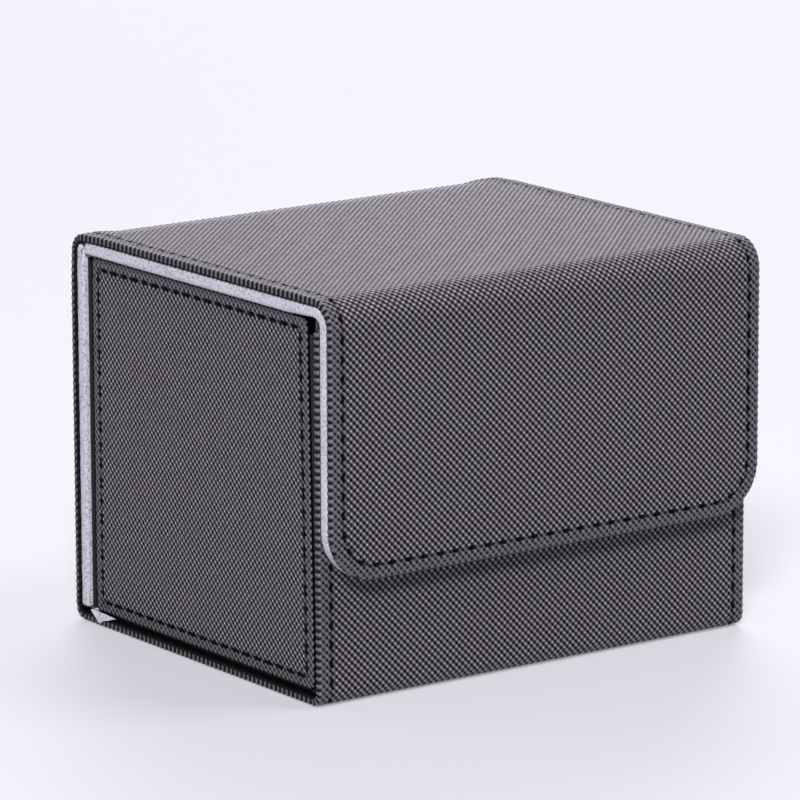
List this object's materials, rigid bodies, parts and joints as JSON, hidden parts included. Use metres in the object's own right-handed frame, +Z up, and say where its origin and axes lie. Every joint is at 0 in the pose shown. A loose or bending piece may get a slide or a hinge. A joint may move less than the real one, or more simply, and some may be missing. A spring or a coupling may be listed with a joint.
{
  "type": "card storage box",
  "caption": "Side-loading card storage box wrapped in embossed dark imitation leather, with a grey suede lining, a hinged lid and a magnetic front flap.",
  "frame": {"origin": "on the table, under the middle of the closed box", "axes": "+X along the width, +Y from the flap towards the back, +Z up"},
  "size_m": [0.107, 0.093, 0.0823],
  "materials": {
    "leather": "embossed, semi-matt",
    "suede": "brushed nap",
    "greyboard": "raw greyboard",
    "tape": "matt woven tape",
    "magnet": "nickel plated"
  },
  "bodies": {
    "tray": {"back_board": "greyboard", "back_cover": "leather", "back_lining": "suede", "back_stiffener": "greyboard", "bottom_board": "greyboard", "bottom_cover": "leather", "bottom_lining": "suede", "bottom_stiffener": "greyboard", "front_board": "greyboard", "front_cover": "leather", "front_fold": "leather", "front_lining": "suede", "front_magnet_left": "magnet", "front_magnet_right": "magnet", "front_stiffener": "greyboard", "left_end_board": "greyboard", "left_end_cover": "leather", "left_end_lining": "suede", "left_gusset": "tape", "rear_fold": "leather", "rear_fold_lining": "suede", "right_end_board": "greyboard", "right_end_cover": "leather", "right_end_lining": "suede", "right_gusset": "tape"},
    "lid": {"lid_fold": "leather", "top_board": "greyboard", "top_cover": "leather", "top_lining": "suede", "top_stiffener": "greyboard"},
    "flap": {"flap_board": "greyboard", "flap_cover": "leather", "flap_fold": "leather", "flap_fold_lining": "suede", "flap_lining": "suede", "flap_magnet_left": "magnet", "flap_magnet_right": "magnet", "flap_stiffener": "greyboard"}
  },
  "joints": [
    {"name": "lid_hinge", "type": "hinge", "parent": "tray", "child": "lid", "pos_m": [0, 0.04555, 0.08138], "axis": [-1, 0, 0], "range_deg": [0, 135], "deforming": ["lid_fold"]},
    {"name": "flap_hinge", "type": "hinge", "parent": "lid", "child": "flap", "pos_m": [0, -0.04519, 0.08101], "axis": [-1, 0, 0], "range_deg": [0, 120], "deforming": ["flap_fold", "flap_fold_lining"]}
  ]
}
